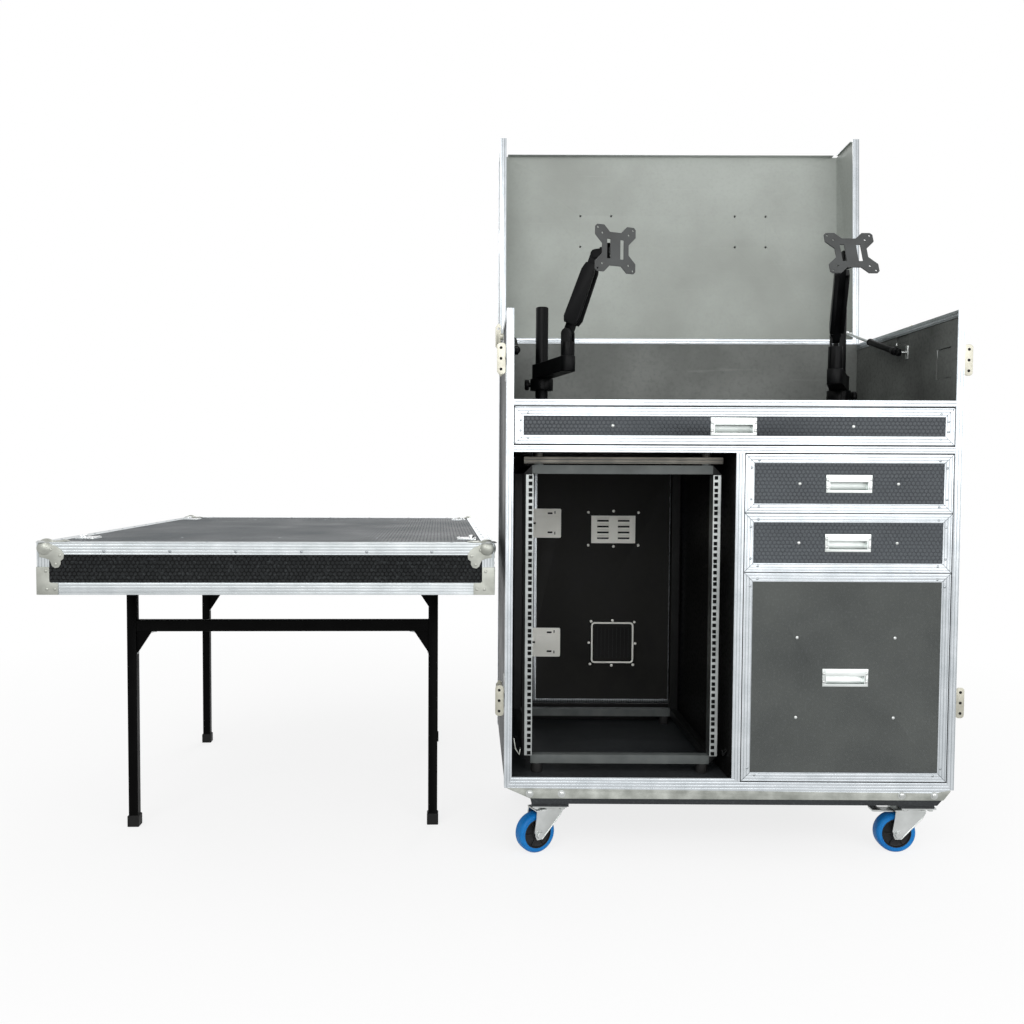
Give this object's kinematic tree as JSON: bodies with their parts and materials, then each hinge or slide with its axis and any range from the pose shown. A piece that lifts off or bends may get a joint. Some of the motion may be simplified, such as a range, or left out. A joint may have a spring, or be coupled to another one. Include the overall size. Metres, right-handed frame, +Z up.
{
  "type": "workstation rack case",
  "caption": "Wheeled flight case opened as a workstation, with desk, shock-mounted rack bay, drawers, monitor arms, strutted lid and its cover standing beside it as a table.",
  "frame": {"origin": "on the floor under the middle of the whole object's box", "axes": "+X to the right along the case's front, +Y to its rear, +Z up; the case opens towards -Y"},
  "size_m": [2.3208, 1.4328, 1.9956],
  "materials": {
    "base_board": "black laminate on plywood",
    "carcass_edging": "ribbed anodised aluminium",
    "desk_panel": "grey phenolic film on plywood",
    "divider_panel": "grey phenolic film on plywood",
    "left_monitor_pole": "black powder coat",
    "left_rack_rail": "satin dark grey powder coat",
    "left_strut_cylinder": "black powder coat",
    "left_wall": "black laminate on plywood",
    "rack_frame": "satin dark grey powder coat",
    "rear_board": "grey phenolic film on plywood",
    "right_monitor_pole": "black powder coat",
    "right_rack_rail": "satin dark grey powder coat",
    "right_strut_cylinder": "black powder coat",
    "right_wall": "black laminate on plywood",
    "shelf_panel": "grey phenolic film on plywood",
    "wide_drawer_front": "ribbed anodised aluminium",
    "wide_drawer_tray": "dark grey laminate on plywood",
    "drawer_1_front": "ribbed anodised aluminium",
    "drawer_1_tray": "dark grey laminate on plywood",
    "drawer_2_front": "ribbed anodised aluminium",
    "drawer_2_tray": "dark grey laminate on plywood",
    "drawer_3_front": "ribbed anodised aluminium",
    "drawer_3_tray": "dark grey laminate on plywood",
    "front_left_fork": "zinc plated steel",
    "front_left_wheel": "blue rubber tyre on a black hub",
    "front_right_fork": "zinc plated steel",
    "front_right_wheel": "blue rubber tyre on a black hub",
    "front_right_brake_pedal": "zinc plated steel",
    "rear_left_fork": "zinc plated steel",
    "rear_left_wheel": "blue rubber tyre on a black hub",
    "rear_right_fork": "zinc plated steel",
    "rear_right_wheel": "blue rubber tyre on a black hub",
    "rear_right_brake_pedal": "zinc plated steel",
    "left_upper_cover_latch": "zinc plated steel",
    "left_lower_cover_latch": "zinc plated steel",
    "left_lid_latch": "zinc plated steel",
    "right_upper_cover_latch": "zinc plated steel",
    "right_lower_cover_latch": "zinc plated steel",
    "right_lid_latch": "zinc plated steel",
    "lid": "grey phenolic film on plywood",
    "left_strut_rod": "chromed steel rod",
    "right_strut_rod": "chromed steel rod",
    "rear_door": "black laminate on plywood",
    "door_upper_latch": "zinc plated steel",
    "door_lower_latch": "zinc plated steel",
    "left_lower_arm": "black powder coat",
    "left_elbow": "black powder coat",
    "left_upper_arm": "black powder coat",
    "left_head": "black powder coat",
    "left_pan_block": "black powder coat",
    "left_monitor_plate": "dark grey powder coat",
    "right_lower_arm": "black powder coat",
    "right_elbow": "black powder coat",
    "right_upper_arm": "black powder coat",
    "right_head": "black powder coat",
    "right_pan_block": "black powder coat",
    "right_monitor_plate": "dark grey powder coat",
    "table_cover": "dark grey laminate on plywood",
    "front_legs": "black powder coat",
    "rear_legs": "black powder coat"
  },
  "bodies": {
    "carcass": {"base_board": "base_board", "carcass_edging": "carcass_edging", "desk_panel": "desk_panel", "divider_panel": "divider_panel", "left_monitor_pole": "left_monitor_pole", "left_rack_rail": "left_rack_rail", "left_strut_cylinder": "left_strut_cylinder", "left_wall": "left_wall", "rack_frame": "rack_frame", "rear_board": "rear_board", "right_monitor_pole": "right_monitor_pole", "right_rack_rail": "right_rack_rail", "right_strut_cylinder": "right_strut_cylinder", "right_wall": "right_wall", "shelf_panel": "shelf_panel"},
    "wide_drawer": {"wide_drawer_front": "wide_drawer_front", "wide_drawer_tray": "wide_drawer_tray"},
    "drawer_1": {"drawer_1_front": "drawer_1_front", "drawer_1_tray": "drawer_1_tray"},
    "drawer_2": {"drawer_2_front": "drawer_2_front", "drawer_2_tray": "drawer_2_tray"},
    "drawer_3": {"drawer_3_front": "drawer_3_front", "drawer_3_tray": "drawer_3_tray"},
    "front_left_swivel": {"front_left_fork": "front_left_fork"},
    "front_left_axle": {"front_left_wheel": "front_left_wheel"},
    "front_right_swivel": {"front_right_fork": "front_right_fork"},
    "front_right_axle": {"front_right_wheel": "front_right_wheel"},
    "front_right_brake": {"front_right_brake_pedal": "front_right_brake_pedal"},
    "rear_left_swivel": {"rear_left_fork": "rear_left_fork"},
    "rear_left_axle": {"rear_left_wheel": "rear_left_wheel"},
    "rear_right_swivel": {"rear_right_fork": "rear_right_fork"},
    "rear_right_axle": {"rear_right_wheel": "rear_right_wheel"},
    "rear_right_brake": {"rear_right_brake_pedal": "rear_right_brake_pedal"},
    "left_upper_cover_latch_axis": {"left_upper_cover_latch": "left_upper_cover_latch"},
    "left_lower_cover_latch_axis": {"left_lower_cover_latch": "left_lower_cover_latch"},
    "left_lid_latch_axis": {"left_lid_latch": "left_lid_latch"},
    "right_upper_cover_latch_axis": {"right_upper_cover_latch": "right_upper_cover_latch"},
    "right_lower_cover_latch_axis": {"right_lower_cover_latch": "right_lower_cover_latch"},
    "right_lid_latch_axis": {"right_lid_latch": "right_lid_latch"},
    "lid_hinge": {"lid": "lid"},
    "left_strut": {"left_strut_rod": "left_strut_rod"},
    "right_strut": {"right_strut_rod": "right_strut_rod"},
    "rear_door_hinge": {"rear_door": "rear_door"},
    "door_upper_latch_axis": {"door_upper_latch": "door_upper_latch"},
    "door_lower_latch_axis": {"door_lower_latch": "door_lower_latch"},
    "left_arm_swing": {"left_lower_arm": "left_lower_arm"},
    "left_elbow_swing": {"left_elbow": "left_elbow"},
    "left_arm_lift": {"left_upper_arm": "left_upper_arm"},
    "left_head_level": {"left_head": "left_head"},
    "left_head_pan": {"left_pan_block": "left_pan_block"},
    "left_plate_tilt": {"left_monitor_plate": "left_monitor_plate"},
    "right_arm_swing": {"right_lower_arm": "right_lower_arm"},
    "right_elbow_swing": {"right_elbow": "right_elbow"},
    "right_arm_lift": {"right_upper_arm": "right_upper_arm"},
    "right_head_level": {"right_head": "right_head"},
    "right_head_pan": {"right_pan_block": "right_pan_block"},
    "right_plate_tilt": {"right_monitor_plate": "right_monitor_plate"},
    "cover_lift": {"table_cover": "table_cover"},
    "front_legs_fold": {"front_legs": "front_legs"},
    "rear_legs_fold": {"rear_legs": "rear_legs"}
  },
  "joints": [
    {"name": "lid_hinge_joint", "type": "hinge", "parent": "carcass", "child": "lid_hinge", "pos_m": [0.03035, -0.02253, 1.358], "axis": [1, 0, 0], "range_deg": [0, 75]},
    {"name": "left_strut_joint", "type": "slide", "parent": "carcass", "child": "left_strut", "axis": [0, 0.9585, 0.2851], "range_m": [-0.047, 0]},
    {"name": "right_strut_joint", "type": "slide", "parent": "carcass", "child": "right_strut", "axis": [0, 0.9585, 0.2851], "range_m": [-0.047, 0]},
    {"name": "wide_drawer_joint", "type": "slide", "parent": "carcass", "child": "wide_drawer", "axis": [0, -1, 0], "range_m": [0, 0.42]},
    {"name": "drawer_1_joint", "type": "slide", "parent": "carcass", "child": "drawer_1", "axis": [0, -1, 0], "range_m": [0, 0.42]},
    {"name": "drawer_2_joint", "type": "slide", "parent": "carcass", "child": "drawer_2", "axis": [0, -1, 0], "range_m": [0, 0.42]},
    {"name": "drawer_3_joint", "type": "slide", "parent": "carcass", "child": "drawer_3", "axis": [0, -1, 0], "range_m": [0, 0.42]},
    {"name": "rear_door_hinge_joint", "type": "hinge", "parent": "carcass", "child": "rear_door_hinge", "pos_m": [0.57385, -0.02253, 0], "axis": [0, 0, -1], "range_deg": [0, 110]},
    {"name": "front_left_swivel_joint", "type": "hinge", "parent": "carcass", "child": "front_left_swivel", "pos_m": [0.14485, -0.56703, 0], "axis": [0, 0, 1], "continuous": true},
    {"name": "front_left_axle_joint", "type": "hinge", "parent": "front_left_swivel", "child": "front_left_axle", "pos_m": [0.1107, -0.58369, 0.05], "axis": [-0.4384, 0.8988, 0], "continuous": true},
    {"name": "front_right_swivel_joint", "type": "hinge", "parent": "carcass", "child": "front_right_swivel", "pos_m": [1.06535, -0.56703, 0], "axis": [0, 0, 1], "continuous": true},
    {"name": "front_right_axle_joint", "type": "hinge", "parent": "front_right_swivel", "child": "front_right_axle", "pos_m": [1.02735, -0.56703, 0.05], "axis": [0, 1, 0], "continuous": true},
    {"name": "rear_left_swivel_joint", "type": "hinge", "parent": "carcass", "child": "rear_left_swivel", "pos_m": [0.14485, -0.09703, 0], "axis": [0, 0, 1], "continuous": true},
    {"name": "rear_left_axle_joint", "type": "hinge", "parent": "rear_left_swivel", "child": "rear_left_axle", "pos_m": [0.11574, -0.12146, 0.05], "axis": [-0.6428, 0.766, 0], "continuous": true},
    {"name": "rear_right_swivel_joint", "type": "hinge", "parent": "carcass", "child": "rear_right_swivel", "pos_m": [1.06535, -0.09703, 0], "axis": [0, 0, 1], "continuous": true},
    {"name": "rear_right_axle_joint", "type": "hinge", "parent": "rear_right_swivel", "child": "rear_right_axle", "pos_m": [1.02964, -0.11003, 0.05], "axis": [-0.342, 0.9397, 0], "continuous": true},
    {"name": "front_right_brake_joint", "type": "hinge", "parent": "front_right_swivel", "child": "front_right_brake", "pos_m": [1.03535, -0.56703, 0.1067], "axis": [0, -1, 0], "range_deg": [0, 8]},
    {"name": "rear_right_brake_joint", "type": "hinge", "parent": "rear_right_swivel", "child": "rear_right_brake", "pos_m": [1.03716, -0.10729, 0.1067], "axis": [0.342, -0.9397, 0], "range_deg": [0, 8]},
    {"name": "left_upper_cover_latch_axis_joint", "type": "hinge", "parent": "carcass", "child": "left_upper_cover_latch_axis", "pos_m": [0.03035, -0.56203, 1.237], "axis": [-1, 0, 0], "range_deg": [0, 180]},
    {"name": "left_lower_cover_latch_axis_joint", "type": "hinge", "parent": "carcass", "child": "left_lower_cover_latch_axis", "pos_m": [0.03035, -0.56203, 0.396], "axis": [-1, 0, 0], "range_deg": [0, 180]},
    {"name": "left_lid_latch_axis_joint", "type": "hinge", "parent": "carcass", "child": "left_lid_latch_axis", "pos_m": [0.03035, -0.33503, 1.3329], "axis": [-1, 0, 0], "range_deg": [0, 180]},
    {"name": "right_upper_cover_latch_axis_joint", "type": "hinge", "parent": "carcass", "child": "right_upper_cover_latch_axis", "pos_m": [1.14035, -0.56203, 1.237], "axis": [1, 0, 0], "range_deg": [0, 180]},
    {"name": "right_lower_cover_latch_axis_joint", "type": "hinge", "parent": "carcass", "child": "right_lower_cover_latch_axis", "pos_m": [1.14035, -0.56203, 0.396], "axis": [1, 0, 0], "range_deg": [0, 180]},
    {"name": "right_lid_latch_axis_joint", "type": "hinge", "parent": "carcass", "child": "right_lid_latch_axis", "pos_m": [1.14035, -0.33503, 1.3329], "axis": [1, 0, 0], "range_deg": [0, 180]},
    {"name": "door_upper_latch_axis_joint", "type": "hinge", "parent": "rear_door_hinge", "child": "door_upper_latch_axis", "pos_m": [0.17835, -0.02733, 0.805], "axis": [0, 1, 0], "range_deg": [0, 180]},
    {"name": "door_lower_latch_axis_joint", "type": "hinge", "parent": "rear_door_hinge", "child": "door_lower_latch_axis", "pos_m": [0.17835, -0.02733, 0.435], "axis": [0, 1, 0], "range_deg": [0, 180]},
    {"name": "left_arm_swing_joint", "type": "hinge", "parent": "carcass", "child": "left_arm_swing", "pos_m": [0.14185, -0.28703, 1.2225], "axis": [0, 0, -1], "range_deg": [-90, 30]},
    {"name": "left_elbow_swing_joint", "type": "hinge", "parent": "left_arm_swing", "child": "left_elbow_swing", "pos_m": [0.19435, -0.48003, 1.2625], "axis": [0, 0, 1], "range_deg": [-60, 60]},
    {"name": "left_arm_lift_joint", "type": "hinge", "parent": "left_elbow_swing", "child": "left_arm_lift", "pos_m": [0.19435, -0.48003, 1.32], "axis": [0.4631, 0.8863, 0], "range_deg": [-11, 60]},
    {"name": "left_head_level_joint", "type": "hinge", "parent": "left_arm_lift", "child": "left_head_level", "pos_m": [0.26095, -0.51483, 1.516], "axis": [0.4631, 0.8863, 0], "range_deg": [-60, 11]},
    {"name": "left_head_pan_joint", "type": "hinge", "parent": "left_head_level", "child": "left_head_pan", "pos_m": [0.28577, -0.5278, 1.516], "axis": [0, 0, 1], "range_deg": [-29, 110]},
    {"name": "left_plate_tilt_joint", "type": "hinge", "parent": "left_head_pan", "child": "left_plate_tilt", "pos_m": [0.29326, -0.54634, 1.516], "axis": [-0.9272, -0.3746, 0], "range_deg": [-20, 36]},
    {"name": "right_arm_swing_joint", "type": "hinge", "parent": "carcass", "child": "right_arm_swing", "pos_m": [0.97485, -0.28703, 1.193], "axis": [0, 0, 1], "range_deg": [-60, 45]},
    {"name": "right_elbow_swing_joint", "type": "hinge", "parent": "right_arm_swing", "child": "right_elbow_swing", "pos_m": [0.89235, -0.46903, 1.233], "axis": [0, 0, -1], "range_deg": [-60, 60]},
    {"name": "right_arm_lift_joint", "type": "hinge", "parent": "right_elbow_swing", "child": "right_arm_lift", "pos_m": [0.89235, -0.46903, 1.312], "axis": [0.9586, -0.2847, 0], "range_deg": [-32, 40]},
    {"name": "right_head_level_joint", "type": "hinge", "parent": "right_arm_lift", "child": "right_head_level", "pos_m": [0.84655, -0.62323, 1.4697], "axis": [0.9586, -0.2847, 0], "range_deg": [-40, 32]},
    {"name": "right_head_pan_joint", "type": "hinge", "parent": "right_head_level", "child": "right_head_pan", "pos_m": [0.83858, -0.65007, 1.4697], "axis": [0, 0, 1], "range_deg": [-85, 50]},
    {"name": "right_plate_tilt_joint", "type": "hinge", "parent": "right_head_pan", "child": "right_plate_tilt", "pos_m": [0.83858, -0.67007, 1.4697], "axis": [-1, 0, 0], "range_deg": [-45, 11]},
    {"name": "cover_lift_joint", "type": "slide", "parent": "carcass", "child": "cover_lift", "axis": [0, 0, 1], "range_m": [0, 0.3]},
    {"name": "front_legs_fold_joint", "type": "hinge", "parent": "cover_lift", "child": "front_legs_fold", "pos_m": [-1.11435, -0.43218, 0.75], "axis": [0.9994, 0.0349, 0], "range_deg": [0, 90]},
    {"name": "rear_legs_fold_joint", "type": "hinge", "parent": "cover_lift", "child": "rear_legs_fold", "pos_m": [-1.14175, 0.35235, 0.7], "axis": [-0.9994, -0.0349, 0], "range_deg": [0, 90]}
  ],
  "couplings": [
    {"joint": "left_strut_joint", "follows": "lid_hinge_joint", "m_per_rad": -0.035294},
    {"joint": "left_head_level_joint", "follows": "left_arm_lift_joint", "ratio": -1},
    {"joint": "right_strut_joint", "follows": "lid_hinge_joint", "m_per_rad": -0.035294},
    {"joint": "right_head_level_joint", "follows": "right_arm_lift_joint", "ratio": -1}
  ]
}
